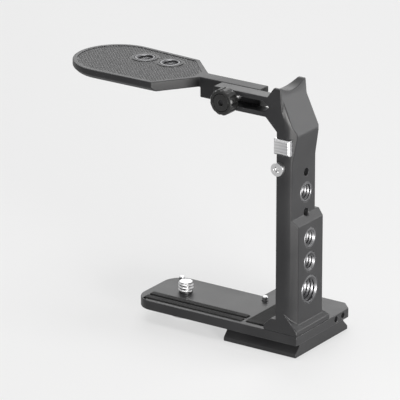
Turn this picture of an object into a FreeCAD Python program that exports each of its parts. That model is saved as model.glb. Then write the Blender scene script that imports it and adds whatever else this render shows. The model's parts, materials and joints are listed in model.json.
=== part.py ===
import FreeCAD, Part
import math
import os
import Sketcher

# Half cage for a mirrorless camera: a base plate with a tongue under the camera, a faceted
# side frame with a slotted arm over the top, and a round accessory pad that slides on the arm.
# Working coordinates: X to the camera's port side, Y to the rear, Z up, from the foot of the
# axis of the camera screw. Every piece is then moved so that the middle of the outline is at 0.

# Driving dimensions in millimetres, with what each one is.
dimensions = {
    "cageTop": (110.0, "top of the corner above the standing face"),
    "cameraSide": (53.6, "inner face of the side frame from the screw axis"),
    "plateThick": (6.4, "thickness of the side frame's web"),
    "frontReach": (17.0, "front face of the frame in front of the screw axis"),
    "webDepth": (18.2, "front to rear depth of the side frame's web"),
    "kneeHeight": (91.0, "height of the outermost edge of the side frame"),
    "kneeRise": (11.0, "height of the flare below the knee"),
    "kneeFlat": (2.0, "height of the upright strip at the knee"),
    "kneeProud": (1.4, "how far the knee stands proud of the web"),
    "shoulderHeight": (104.0, "height where the leaning face meets the corner"),
    "shoulderLean": (4.2, "how far the leaning face comes in at the shoulder"),
    "ridgeLean": (0.6, "how far the corner comes in above the shoulder"),
    "ridgeWidth": (3.6, "width of the ridge at the top of the corner"),
    "ridgeFoot": (3.0, "how far the ridge spreads towards the arm"),
    "hornRadius": (15.0, "radius of the dip along the top of the corner"),
    "hornDip": (2.2, "depth of the dip along the top of the corner"),
    "grooveEdge": (1.4, "chamfer along the front of the web"),
    "footToe": (5.6, "how far the foot's toe reaches under the camera"),
    "footThick": (5.2, "height of the side frame's foot"),
    "footProud": (1.6, "how far the foot stands out beyond the mounting block"),
    "footDepth": (24.0, "front to rear depth of the foot"),
    "footBevel": (3.2, "bevel round the top of the foot"),
    "mountHigh": (57.0, "upper end of the thick mounting block"),
    "mountProud": (2.0, "how far the mounting block stands proud of the web"),
    "mountDepth": (21.0, "front to rear depth of the mounting block"),
    "mountBevel": (3.4, "bevel of the mounting block's front edge"),
    "mountSlope": (3.0, "height of the slope at the top of the mounting block"),
    "armThick": (6.0, "front to rear depth of the arm"),
    "armHeight": (8.2, "height of the arm"),
    "armTop": (105.8, "height of the arm's upper face"),
    "armEnd": (24.5, "free end of the arm from the screw axis"),
    "armGusset": (5.0, "gusset between the arm and the web"),
    "slotHeight": (4.3, "height of the arm's slot"),
    "slotStart": (26.8, "free end of the slot from the screw axis"),
    "slotInset": (3.6, "inner end of the slot from the side frame's inner face"),
    "slotPoint": (2.6, "length of the slot's pointed end"),
    "deckThick": (4.0, "thickness of the base deck and its tongue"),
    "deckTop": (10.0, "height of the base deck's upper face"),
    "deckRear": (25.0, "rear edge of the base deck behind the screw axis"),
    "deckCorner": (4.0, "bevel of the base deck's corners"),
    "tongueTip": (14.0, "tip of the tongue past the screw axis"),
    "tongueRear": (13.0, "rear edge of the tongue behind the screw axis"),
    "tongueRound": (8.0, "corner radius of the tongue's tip"),
    "railStart": (28.0, "inner end of the dovetail rail from the screw axis"),
    "railWidth": (38.0, "width of the dovetail rail at its foot"),
    "railWaist": (32.0, "width of the dovetail rail at its waist"),
    "railLip": (1.5, "height of the dovetail rail's upright lip"),
    "sideHoleRadius": (1.2, "radius of the blind holes in the deck's side"),
    "sideHoleSpacing": (5.0, "spacing of the blind holes in the deck's side"),
    "sideHoleInset": (8.0, "rear blind hole from the deck's rear edge"),
    "sideHoleDepth": (4.0, "depth of the blind holes in the deck's side"),
    "railGusset": (3.0, "gusset between the rail's end and the tongue"),
    "padRadius": (18.0, "radius of the accessory pad's round end"),
    "padCentre": (26.0, "pad centre past the screw axis"),
    "padFront": (9.0, "pad centre in front of the screw axis"),
    "padThick": (4.0, "thickness of the accessory pad"),
    "padBevel": (1.6, "bevel under the pad's edge"),
    "padShoulder": (2.0, "end of the pad's straight front edge from the screw axis"),
    "padTaper": (2.0, "how far the pad's rear edge comes in at the shoulder"),
    "padThreadStart": (8.0, "first pad thread from the pad's centre"),
    "padThreadSpacing": (12.0, "spacing of the pad threads"),
    "padThreadBack": (7.0, "pad threads behind the pad's centre"),
    "cushionStart": (8.0, "outer end of the pad's cushion from the pad's centre"),
    "cushionLength": (30.0, "length of the pad's cushion"),
    "cushionWidth": (9.0, "width of the pad's cushion"),
    "cushionInset": (8.0, "front edge of the cushion from the pad's front edge"),
    "neckStart": (14.0, "start of the neck that runs behind the arm"),
    "neckRoot": (6.0, "length of the pad's plate over the neck"),
    "neckEnd": (42.0, "end of the neck behind the arm"),
    "neckThick": (6.0, "front to rear depth of the neck"),
    "knobX": (31.4, "knob axis from the screw axis"),
    "knobRadius": (5.2, "radius of the knob"),
    "knobLength": (4.6, "length of the knob's grip"),
    "knobBevel": (0.6, "bevel round the knob's face"),
    "knobFlutes": (12, "number of grip flutes round the knob"),
    "fluteRadius": (0.7, "radius of a grip flute"),
    "studRadius": (2.0, "radius of the knob's threaded stud"),
    "studSink": (3.6, "depth of the stud in the knob"),
    "studTail": (2.4, "how far the stud stands out behind the neck"),
    "washerThick": (0.8, "thickness of the knob's washer"),
    "washerRadius": (4.4, "outer radius of the knob's washer"),
    "screwRadius": (3.1, "outer radius of the camera screw's quarter inch thread"),
    "screwHead": (7.0, "radius of the camera screw's head"),
    "screwHeadThick": (3.0, "thickness of the camera screw's head"),
    "screwThread": (4.2, "length of the camera screw's thread"),
    "screwNeck": (2.4, "radius of the camera screw's plain neck"),
    "screwFloor": (0.6, "height of the dropped screw's head above the standing face"),
    "screwKey": (2.3, "radius across the corners of the camera screw's socket"),
    "screwKeyDepth": (1.8, "depth of the camera screw's socket"),
    "screwBevel": (0.5, "bevel round the camera screw's head"),
    "coinWidth": (1.6, "width of the coin slot in the camera screw"),
    "coinDepth": (1.2, "depth of the coin slot in the camera screw"),
    "fibreInset": (1.4, "edge of the fibre washer from the edge of the screw's head"),
    "fibreThick": (0.6, "thickness of the camera screw's fibre washer"),
    "quarterThread": (3.2, "radius of a quarter inch accessory thread"),
    "largeThread": (4.8, "radius of a three eighths inch accessory thread"),
    "insertWall": (0.9, "wall of a steel thread insert"),
    "largeHeight": (26.0, "height of the three eighths inch thread"),
    "largeSpacing": (11.6, "large thread to the quarter inch thread above it"),
    "quarterSpacing": (9.8, "spacing of the block's quarter inch threads"),
    "upperRise": (9.0, "upper thread above the mounting block"),
    "threadPlace": (0.56, "share of the block's depth that lies in front of the threads"),
    "locatorRadius": (1.6, "radius of a small locating hole"),
    "locatorSpacing": (16.4, "spacing of the locating holes about the upper thread"),
    "locatorDepth": (3.2, "depth of the locating holes"),
    "boltRadius": (2.0, "radius of the foot bolts"),
    "boltHead": (3.5, "radius of the foot bolts' heads"),
    "boltHeadThick": (3.4, "height of the foot bolts' heads"),
    "boltSink": (0.4, "how deep the foot bolts' heads lie in the rail"),
    "boltKey": (1.7, "radius across the corners of the foot bolts' sockets"),
    "boltKeyDepth": (1.8, "depth of the foot bolts' sockets"),
    "boltReach": (9.0, "depth of the foot bolts' holes in the side frame"),
    "boltEndGap": (1.0, "space between a foot bolt's tip and the end of its hole"),
    "boltSpacing": (8.2, "spacing of the foot bolts"),
    "boltMiddle": (2.9, "middle of the foot bolts in front of the screw axis"),
    "boltInset": (4.0, "line of the foot bolts outside the side frame's inner face"),
    "dowelInset": (2.6, "line of the foot dowels inside the side frame's inner face"),
    "dowelRadius": (1.5, "radius of the foot dowels"),
    "dowelLength": (6.0, "length of the foot dowels"),
    "dowelSpacing": (15.0, "spacing of the foot dowels"),
    "lugWidth": (7.4, "width of the strap lug clamp"),
    "lugHeight": (6.4, "height of the strap lug clamp"),
    "lugDepth": (5.0, "front to rear depth of the strap lug clamp"),
    "lugProud": (1.0, "how far the strap lug clamp stands out of the frame"),
    "lugInset": (1.0, "how far the lug clamp reaches past the frame's inner face"),
    "lugBevel": (0.8, "bevel round the lug clamp's face"),
    "lugScrewInset": (1.4, "axis of the lug screw outside the frame's inner face"),
    "lugScrewLength": (7.0, "length of the lug screw's thread"),
    "lugScrewDepth": (8.0, "depth of the lug screw's hole"),
    "lugHeadThick": (2.0, "thickness of the lug screw's head"),
    "lugKey": (1.3, "radius across the corners of the lug screw's socket"),
    "lugKeyDepth": (1.2, "depth of the lug screw's socket"),
    "lugBase": (83.6, "height of the strap lug clamp's lower face"),
    "lugScrewHeight": (78.0, "height of the strap lug screw"),
    "lugScrewRadius": (1.5, "radius of the strap lug screw's thread"),
    "lugScrewHead": (2.7, "radius of the strap lug screw's head"),
    "rubberThick": (1.0, "thickness of the rubber linings"),
    "rubberSink": (0.5, "how deep the rubber linings sit in their recesses"),
    "rubberGap": (0.1, "gap round a rubber lining in its recess"),
    "stripStart": (10.0, "outer end of the rubber strips from the screw axis"),
    "stripEnd": (36.0, "inner end of the rubber strips from the screw axis"),
    "stripInset": (2.2, "first rubber strip from the deck's front edge"),
    "stripWidth": (2.6, "width of a rubber strip"),
    "stripSpacing": (4.0, "spacing of the rubber strips"),
    "deckLiningGap": (2.0, "deck lining from the end of the rubber strips"),
    "deckLiningInset": (3.0, "deck lining from the front edge of the deck"),
    "deckLiningRear": (4.0, "deck lining from the rear edge of the deck"),
    "sideLiningInset": (3.0, "side lining from the edges of the web"),
    "sideLiningRise": (10.0, "upper end of the side lining above the upper thread"),
    "pinRadius": (1.2, "radius of the anti twist pins"),
    "pinProud": (2.0, "height of the anti twist pins above the deck"),
    "pinEndInset": (6.0, "outer anti twist pin from the tongue's tip"),
    "pinRootInset": (4.0, "inner anti twist pin from the root of the tongue"),
    "pinRearInset": (4.0, "anti twist pins from the tongue's rear edge"),
    "pinFloor": (0.8, "metal left under an anti twist pin"),
    "stopInset": (5.0, "first rail stop screw from the rail's inner end"),
    "stopSpacing": (12.0, "spacing of the rail stop screws"),
    "stopLength": (6.6, "length of a rail stop screw"),
    "stopRoof": (2.0, "metal left over a rail stop screw"),
    "stopSink": (0.2, "how deep a rail stop screw lies in the rail"),
    "stopKey": (0.9, "radius across the corners of a rail stop screw's socket"),
    "stopKeyDepth": (1.2, "depth of a rail stop screw's socket"),
    "overlap": (1.0, "how far pads and cuts run past the faces that they meet"),
    "runGap": (0.05, "running clearance round a turning shaft"),
    "slideGap": (0.2, "clearance between sliding faces"),
    "boreGap": (0.2, "clearance round a fastener in its plain hole"),
}

doc = FreeCAD.newDocument("HalfCage")
sheet = doc.addObject("Spreadsheet::Sheet", "Sizes")


class Size:
    # A length with the sheet expression that gives it, so that both stay together.

    def __init__(self, value, text):
        self.value = value
        self.text = text

    def __add__(self, other):
        other = asSize(other)
        return Size(self.value + other.value, f"({self.text} + {other.text})")

    def __radd__(self, other):
        return asSize(other) + self

    def __sub__(self, other):
        other = asSize(other)
        return Size(self.value - other.value, f"({self.text} - {other.text})")

    def __rsub__(self, other):
        return asSize(other) - self

    def __mul__(self, other):
        other = asSize(other)
        return Size(self.value * other.value, f"({self.text} * {other.text})")

    def __rmul__(self, other):
        return asSize(other) * self

    def __truediv__(self, other):
        other = asSize(other)
        return Size(self.value / other.value, f"({self.text} / {other.text})")

    def __neg__(self):
        return Size(-self.value, f"(-1 * {self.text})")


def asSize(number):
    if isinstance(number, Size):
        return number
    return Size(float(number), f"({float(number):.9g})")


def fillSheet():
    for row, (name, (value, note)) in enumerate(dimensions.items(), start=1):
        sheet.set(f"A{row}", name)
        sheet.set(f"B{row}", str(value))
        sheet.set(f"C{row}", note)
        sheet.setAlias(f"B{row}", name)
    doc.recompute()


def size(name):
    return Size(float(dimensions[name][0]), f"Sizes.{name}")


def bind(item, path, length):
    item.setExpression(path, asSize(length).text)


def newBody(name):
    body = doc.addObject("PartDesign::Body", name)
    body.Label = name
    return body


def originPlane(body, role):
    for item in body.Origin.OriginFeatures:
        if item.Role == role:
            return item
    raise ValueError(role)


# The sketch planes' normals are +Z, -Y and +X, so a start along Y changes its sign.
planeSign = {"XY_Plane": 1, "XZ_Plane": -1, "YZ_Plane": 1}


def newSketch(body, role, start):
    sketch = body.newObject("Sketcher::SketchObject", f"{body.Name}Sketch")
    sketch.AttachmentSupport = (originPlane(body, role), [""])
    sketch.MapMode = "FlatFace"
    offset = asSize(start) * planeSign[role]
    sketch.AttachmentOffset = FreeCAD.Placement(FreeCAD.Vector(0, 0, offset.value), FreeCAD.Rotation())
    bind(sketch, "AttachmentOffset.Base.z", offset)
    return sketch


def locate(sketch, geometry, point, x, y):
    for kind, place in (("DistanceX", asSize(x)), ("DistanceY", asSize(y))):
        index = sketch.addConstraint(Sketcher.Constraint(kind, -1, 1, geometry, point, place.value))
        sketch.setExpression(f"Constraints[{index}]", place.text)


def drawPolygon(sketch, corners):
    places = [(asSize(x), asSize(y)) for x, y in corners]
    first = sketch.GeometryCount
    for here, there in zip(places, places[1:] + places[:1]):
        start = FreeCAD.Vector(here[0].value, here[1].value, 0)
        end = FreeCAD.Vector(there[0].value, there[1].value, 0)
        sketch.addGeometry(Part.LineSegment(start, end), False)
    for number in range(len(places)):
        following = (number + 1) % len(places)
        sketch.addConstraint(Sketcher.Constraint("Coincident", first + number, 2, first + following, 1))
    for number, (x, y) in enumerate(places):
        locate(sketch, first + number, 1, x, y)


def drawCircle(sketch, x, y, radius):
    x = asSize(x)
    y = asSize(y)
    radius = asSize(radius)
    centre = FreeCAD.Vector(x.value, y.value, 0)
    number = sketch.addGeometry(Part.Circle(centre, FreeCAD.Vector(0, 0, 1), radius.value), False)
    index = sketch.addConstraint(Sketcher.Constraint("Radius", number, radius.value))
    sketch.setExpression(f"Constraints[{index}]", radius.text)
    locate(sketch, number, 3, x, y)


def drawOutline(sketch, outline):
    # An outline is either ("circle", x, y, radius) or a list of corners.
    if outline[0] == "circle":
        drawCircle(sketch, *outline[1:])
    else:
        drawPolygon(sketch, outline)


def addPad(body, role, start, length, outline):
    # The pad runs from start towards the positive end of the axis across the plane.
    sketch = newSketch(body, role, start)
    drawOutline(sketch, outline)
    pad = body.newObject("PartDesign::Pad", f"{body.Name}Pad")
    pad.Profile = sketch
    pad.Length = asSize(length).value
    bind(pad, "Length", length)
    pad.Reversed = role == "XZ_Plane"
    return pad


def addPocket(body, role, start, length, *outlines):
    # The pocket runs from start towards the positive end of the axis across the plane.
    doc.recompute()
    before = body.Shape.Volume
    sketch = newSketch(body, role, start)
    for outline in outlines:
        drawOutline(sketch, outline)
    pocket = body.newObject("PartDesign::Pocket", f"{body.Name}Pocket")
    pocket.Profile = sketch
    pocket.Length = asSize(length).value
    bind(pocket, "Length", length)
    pocket.Reversed = role != "XZ_Plane"
    doc.recompute()
    if not body.Shape.Volume < before:
        raise ValueError(f"{pocket.Name} cuts nothing")
    return pocket


def edgeNames(body, wanted):
    doc.recompute()
    return [f"Edge{number}" for number, edge in enumerate(body.Shape.Edges, start=1) if wanted(edge)]


def addEdgeFeature(body, kind, length, wanted):
    # kind is Fillet or Chamfer; wanted picks the edges by where they lie.
    names = edgeNames(body, wanted)
    if not names:
        raise ValueError(f"{body.Name} has no edge for this {kind}")
    carrier = body.Tip
    feature = body.newObject(f"PartDesign::{kind}", f"{body.Name}{kind}")
    feature.Base = (carrier, names)
    name = "Radius" if kind == "Fillet" else "Size"
    setattr(feature, name, asSize(length).value)
    bind(feature, name, length)
    return feature


def runsAlong(edge, axis):
    if edge.Curve.TypeId != "Part::GeomLine":
        return False
    direction = edge.Curve.Direction
    return abs(getattr(direction, axis)) > 0.999


def near(value, target):
    return abs(value - asSize(target).value) < 1e-4


def turned(x, y, radius, angle):
    # A place on a circle round (x, y), with the angle in degrees.
    return (x + radius * round(math.cos(math.radians(angle)), 9),
            y + radius * round(math.sin(math.radians(angle)), 9))


# Shared places, each worked out from the sheet's sizes.
front = -size("frontReach")
webRear = front + size("webDepth")
outer = size("cameraSide") + size("plateThick")
blockOuter = outer + size("mountProud")
footOuter = blockOuter + size("footProud")
footRear = front + size("footDepth")
deckBottom = size("deckTop") - size("deckThick")
armBottom = size("armTop") - size("armHeight")
armRear = front + size("armThick")
slotMiddle = armBottom + size("armHeight") / 2
railMiddle = (size("deckRear") + front) / 2
padX = -size("padCentre")
padY = -size("padFront")
padBottom = size("armTop") - size("padThick")
neckFront = armRear + size("slideGap")
neckRear = neckFront + size("neckThick")
middleX = (footOuter + padX - size("padRadius")) / 2
middleY = (size("deckRear") + padY - size("padRadius")) / 2
boltRows = (-size("boltMiddle") - size("boltSpacing") / 2, -size("boltMiddle") + size("boltSpacing") / 2)
dowelMiddle = front + size("footDepth") / 2
dowelRows = (dowelMiddle - size("dowelSpacing") / 2, dowelMiddle + size("dowelSpacing") / 2)
holeY = front + size("mountDepth") * size("threadPlace")
lowHeight = size("largeHeight") + size("largeSpacing")
lowerHoles = {"high": lowHeight + size("quarterSpacing"), "low": lowHeight}
upperHeight = size("mountHigh") + size("upperRise")
slotEnd = size("cameraSide") - size("slotInset")
boltX = size("cameraSide") + size("boltInset")
dowelX = size("cameraSide") - size("dowelInset")
beyond = size("overlap")
insertRadius = size("quarterThread") + size("insertWall")


def place(item, x=0, y=0, z=0, rotation=None):
    # Moves a piece so that the middle of the whole outline stands over the origin.
    target = (asSize(x) - middleX, asSize(y) - middleY, asSize(z))
    item.Placement = FreeCAD.Placement(FreeCAD.Vector(*[part.value for part in target]),
                                       rotation or FreeCAD.Rotation())
    for axis, part in zip("xyz", target):
        bind(item, f"Placement.Base.{axis}", part)
    return item


def basePlate():
    body = newBody("base_plate")
    deck = [(size("railStart"), front), (footOuter, front), (footOuter, size("deckRear")),
            (size("railStart"), size("deckRear"))]
    addPad(body, "XY_Plane", deckBottom, size("deckThick"), deck)
    addEdgeFeature(body, "Chamfer", size("deckCorner"),
                   lambda edge: runsAlong(edge, "z") and near(edge.CenterOfMass.x, footOuter)
                   and edge.CenterOfMass.y > 0)
    root = size("railStart") + beyond
    tongue = rectangle(-size("tongueTip"), front, root, size("tongueRear"))
    addPad(body, "XY_Plane", deckBottom, size("deckThick"), tongue)
    addEdgeFeature(body, "Fillet", size("tongueRound"),
                   lambda edge: runsAlong(edge, "z") and near(edge.CenterOfMass.x, -size("tongueTip")))
    foot = size("railWidth") / 2
    waist = size("railWaist") / 2
    slope = size("railLip") + foot - waist
    rail = [(railMiddle - foot, 0), (railMiddle + foot, 0), (railMiddle + foot, size("railLip")),
            (railMiddle + waist, slope), (railMiddle + waist, deckBottom + beyond),
            (railMiddle - waist, deckBottom + beyond), (railMiddle - waist, slope),
            (railMiddle - foot, size("railLip"))]
    addPad(body, "YZ_Plane", size("railStart"), blockOuter - size("railStart"), rail)
    gussetFoot = deckBottom - size("railGusset")
    gusset = [(size("railStart") - size("railGusset"), deckBottom), (size("railStart"), gussetFoot),
              (root, gussetFoot), (root, deckBottom + beyond),
              (size("railStart") - size("railGusset"), deckBottom + beyond)]
    gussetFront = railMiddle - waist
    addPad(body, "XZ_Plane", gussetFront, size("tongueRear") - gussetFront, gusset)
    through = size("deckTop") + beyond * 2
    addPocket(body, "XY_Plane", -beyond, through, ("circle", 0, 0, size("screwNeck") + size("boreGap")))
    bolts = [("circle", boltX, y, size("boltRadius") + size("boreGap")) for y in boltRows]
    addPocket(body, "XY_Plane", -beyond, through, *bolts)
    heads = [("circle", boltX, y, size("boltHead") + size("boreGap")) for y in boltRows]
    addPocket(body, "XY_Plane", -beyond, size("boltHeadThick") + size("boltSink") + beyond, *heads)
    dowels = [("circle", dowelX, y, size("dowelRadius")) for y in dowelRows]
    addPocket(body, "XY_Plane", size("deckTop") - size("dowelLength") / 2, size("dowelLength"), *dowels)
    addPocket(body, "XY_Plane", size("deckTop") - size("rubberSink"), size("rubberSink") + beyond,
              *[grown(strip, size("rubberGap")) for strip in rubberStrips()])
    pins = [("circle", x, y, size("pinRadius")) for x, y in pinPlaces()]
    addPocket(body, "XY_Plane", deckBottom + size("pinFloor"), size("deckThick") + beyond, *pins)
    screws = [("circle", x, railMiddle, size("locatorRadius")) for x in stopPlaces()]
    addPocket(body, "XY_Plane", -beyond, size("deckTop") - size("stopRoof") + beyond, *screws)
    rearHole = size("deckRear") - size("sideHoleInset")
    middle = deckBottom + size("deckThick") / 2
    sideRows = (rearHole - size("sideHoleSpacing"), rearHole)
    side = [("circle", y, middle, size("sideHoleRadius")) for y in sideRows]
    addPocket(body, "YZ_Plane", footOuter - size("sideHoleDepth"), size("sideHoleDepth") + beyond, *side)
    return place(body)


def rubberStrips():
    # Two long strips on the tongue and one pad on the deck, as corners of rectangles.
    first = front + size("stripInset")
    strips = []
    for low in (first, first + size("stripSpacing")):
        strips.append(rectangle(-size("stripStart"), low, size("stripEnd"), low + size("stripWidth")))
    left = size("stripEnd") + size("deckLiningGap")
    right = size("cameraSide") - size("footToe") - beyond
    rear = size("deckRear") - size("deckLiningRear")
    strips.append(rectangle(left, front + size("deckLiningInset"), right, rear))
    return strips


def rectangle(left, low, right, high):
    return [(left, low), (right, low), (right, high), (left, high)]


def grown(corners, gap):
    left, low = corners[0]
    right, high = corners[2]
    return rectangle(left - gap, low - gap, right + gap, high + gap)


def pinPlaces():
    rear = size("tongueRear") - size("pinRearInset")
    return [(size("pinEndInset") - size("tongueTip"), rear), (size("railStart") + size("pinRootInset"), rear)]


def stopPlaces():
    first = size("railStart") + size("stopInset")
    return [first, first + size("stopSpacing")]


def sideFrame():
    body = newBody("side_frame")
    inner = size("cameraSide")
    deck = size("deckTop")
    knee = outer + size("kneeProud")
    shoulder = outer - size("shoulderLean")
    ridge = shoulder - size("ridgeWidth")
    foot = rectangle(inner - size("footToe"), front, footOuter, footRear)
    addPad(body, "XY_Plane", deck, size("footThick"), foot)
    addEdgeFeature(body, "Chamfer", size("footBevel"),
                   lambda edge: near(edge.CenterOfMass.z, deck + size("footThick"))
                   and (near(edge.CenterOfMass.x, footOuter) or near(edge.CenterOfMass.y, footRear)
                        or near(edge.CenterOfMass.x, inner - size("footToe"))))
    web = [(inner, deck), (outer, deck), (outer, size("kneeHeight") - size("kneeRise")),
           (knee, size("kneeHeight") - size("kneeFlat") / 2), (knee, size("kneeHeight") + size("kneeFlat") / 2),
           (shoulder, size("shoulderHeight")), (shoulder - size("ridgeLean"), size("cageTop")),
           (ridge, size("cageTop")), (ridge - size("ridgeFoot"), size("armTop")),
           (ridge - size("ridgeFoot"), armBottom), (inner - size("armGusset"), armBottom),
           (inner, armBottom - size("armGusset"))]
    addPad(body, "XZ_Plane", front, size("webDepth"), web)
    block = [(inner + beyond, deck), (blockOuter, deck), (blockOuter, size("mountHigh") - size("mountSlope")),
             (outer, size("mountHigh")), (inner + beyond, size("mountHigh"))]
    addPad(body, "XZ_Plane", front, size("mountDepth"), block)
    addEdgeFeature(body, "Chamfer", size("mountBevel"),
                   lambda edge: runsAlong(edge, "z") and near(edge.CenterOfMass.x, blockOuter)
                   and near(edge.CenterOfMass.y, front) and edge.CenterOfMass.z > deck.value)
    addEdgeFeature(body, "Chamfer", size("grooveEdge"),
                   lambda edge: near(edge.CenterOfMass.y, front) and edge.CenterOfMass.x > shoulder.value
                   and edge.CenterOfMass.z > size("mountHigh").value
                   and edge.CenterOfMass.z < size("shoulderHeight").value)
    arm = rectangle(size("armEnd"), armBottom, inner, size("armTop"))
    addPad(body, "XZ_Plane", front, size("armThick"), arm)
    half = size("slotHeight") / 2
    roundX = size("slotStart") + half
    pointX = slotEnd - size("slotPoint")
    slot = [(roundX, slotMiddle - half), (pointX, slotMiddle - half), (slotEnd, slotMiddle),
            (pointX, slotMiddle + half), (roundX, slotMiddle + half)]
    addPocket(body, "XZ_Plane", front - beyond, size("armThick") + beyond * 2, slot)
    addPocket(body, "XZ_Plane", front - beyond, size("armThick") + beyond * 2,
              ("circle", roundX, slotMiddle, half))
    dipCentre = size("cageTop") - size("hornDip") + size("hornRadius")
    dipStart = ridge - size("ridgeFoot") - beyond
    addPocket(body, "YZ_Plane", dipStart, knee + beyond - dipStart,
              ("circle", front + size("webDepth") / 2, dipCentre, size("hornRadius")))
    threads = [("circle", holeY, z, insertRadius) for z in (*lowerHoles.values(), upperHeight)]
    threads.append(("circle", holeY, size("largeHeight"), size("largeThread") + size("insertWall")))
    addPocket(body, "YZ_Plane", inner - beyond, blockOuter - inner + beyond * 2, *threads)
    half = size("locatorSpacing") / 2
    locators = [("circle", holeY, z, size("locatorRadius")) for z in (upperHeight - half, upperHeight + half)]
    locatorFloor = outer - size("locatorDepth")
    addPocket(body, "YZ_Plane", locatorFloor, blockOuter + beyond - locatorFloor, *locators)
    bolts = [("circle", boltX, y, size("boltRadius")) for y in boltRows]
    addPocket(body, "XY_Plane", deck - beyond, size("boltReach") + beyond, *bolts)
    dowels = [("circle", dowelX, y, size("dowelRadius")) for y in dowelRows]
    addPocket(body, "XY_Plane", deck - beyond, size("dowelLength") / 2 + beyond, *dowels)
    addPocket(body, "XZ_Plane", front - beyond, size("lugDepth") - size("lugProud") + beyond, lugOutline())
    addPocket(body, "XZ_Plane", front - beyond, size("lugScrewDepth") + beyond,
              ("circle", lugScrewX(), size("lugScrewHeight"), size("lugScrewRadius")))
    addPocket(body, "YZ_Plane", inner - beyond, size("rubberSink") + beyond,
              grown(sideLiningOutline(), size("rubberGap")))
    return place(body)


def sideLiningOutline():
    inset = size("sideLiningInset")
    return rectangle(front + inset, size("mountHigh") + inset, webRear - inset,
                     upperHeight + size("sideLiningRise"))


def lugScrewX():
    return size("cameraSide") + size("lugScrewInset")


def lugOutline():
    left = size("cameraSide") - size("lugInset")
    return rectangle(left, size("lugBase"), left + size("lugWidth"), size("lugBase") + size("lugHeight"))


def topPad():
    body = newBody("top_pad")
    radius = size("padRadius")
    rootEnd = size("neckStart") + size("neckRoot")
    plate = [(padX, padY - radius), (size("padShoulder"), padY - radius), (size("neckStart"), neckFront),
             (rootEnd, neckFront), (rootEnd, neckRear), (size("neckStart"), neckRear),
             (size("padShoulder"), padY + radius - size("padTaper")), (padX, padY + radius)]
    addPad(body, "XY_Plane", padBottom, size("padThick"), plate)
    addPad(body, "XY_Plane", padBottom, size("padThick"), ("circle", padX, padY, radius))
    addEdgeFeature(body, "Chamfer", size("padBevel"),
                   lambda edge: near(edge.CenterOfMass.z, padBottom)
                   and edge.CenterOfMass.x < (size("padShoulder") + beyond).value)
    neck = rectangle(size("neckStart"), neckFront, size("neckEnd"), neckRear)
    addPad(body, "XY_Plane", armBottom, size("armHeight"), neck)
    holes = [("circle", x, y, insertRadius) for x, y in padThreads()]
    addPocket(body, "XY_Plane", padBottom - beyond, size("padThick") + beyond * 2, *holes)
    addPocket(body, "XZ_Plane", neckFront - beyond, size("neckThick") + beyond * 2,
              ("circle", size("knobX"), slotMiddle, size("studRadius") + size("runGap")))
    addPocket(body, "XY_Plane", padBottom - beyond, size("rubberSink") + beyond,
              grown(cushionOutline(), size("rubberGap")))
    return place(body)


def padThreads():
    first = padX + size("padThreadStart")
    rear = padY + size("padThreadBack")
    return [(first, rear), (first + size("padThreadSpacing"), rear)]


def cushionOutline():
    left = padX - size("cushionStart")
    low = padY - size("padRadius") + size("cushionInset")
    return rectangle(left, low, left + size("cushionLength"), low + size("cushionWidth"))


def lining(name, sinkTop, corners, role="XY_Plane"):
    body = newBody(name)
    addPad(body, role, sinkTop, size("rubberThick"), corners)
    return body


def group(name, members):
    # Identical pieces stand in one node as separate solids.
    compound = doc.addObject("Part::Compound", name)
    compound.Links = members
    compound.Label = name
    return compound


def rubberPieces():
    bottom = size("deckTop") - size("rubberSink")
    strips = []
    for number, corners in enumerate(rubberStrips()[:2], start=1):
        strips.append(place(lining(f"tongue_strip_{number}", bottom, corners)))
    deckPad = place(lining("deck_rubber", bottom, rubberStrips()[2]))
    liningFace = size("cameraSide") + size("rubberSink") - size("rubberThick")
    sideLining = place(lining("side_rubber", liningFace, sideLiningOutline(), "YZ_Plane"))
    addPocket(sideLining, "YZ_Plane", liningFace - beyond, size("rubberThick") + beyond * 2,
              ("circle", holeY, upperHeight, insertRadius + size("rubberGap")))
    cushion = place(lining("pad_rubber", padBottom + size("rubberSink") - size("rubberThick"),
                           cushionOutline()))
    return [group("tongue_strips", strips), deckPad, sideLining, cushion]


def tube(name, role, start, length, x, y, radius, bore):
    body = newBody(name)
    addPad(body, role, start, length, ("circle", x, y, radius))
    addPocket(body, role, start - beyond, length + beyond * 2, ("circle", x, y, bore))
    return place(body)


def threadInserts():
    inner = size("cameraSide")
    deep = size("plateThick") + size("mountProud")
    bore = size("quarterThread")
    side = []
    for name, height in lowerHoles.items():
        side.append(tube(f"insert_{name}", "YZ_Plane", inner, deep, holeY, height, insertRadius, bore))
    side.append(tube("insert_upper", "YZ_Plane", inner, size("plateThick"), holeY, upperHeight,
                     insertRadius, bore))
    pads = []
    for number, (x, y) in enumerate(padThreads(), start=1):
        pads.append(tube(f"insert_pad_{number}", "XY_Plane", padBottom, size("padThick"), x, y,
                         insertRadius, bore))
    large = tube("large_insert", "YZ_Plane", inner, deep, holeY, size("largeHeight"),
                 size("largeThread") + size("insertWall"), size("largeThread"))
    return [group("side_inserts", side), group("pad_inserts", pads), large]


def hexagon(x, y, radius):
    return [turned(asSize(x), asSize(y), asSize(radius), 60 * number) for number in range(6)]


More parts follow.
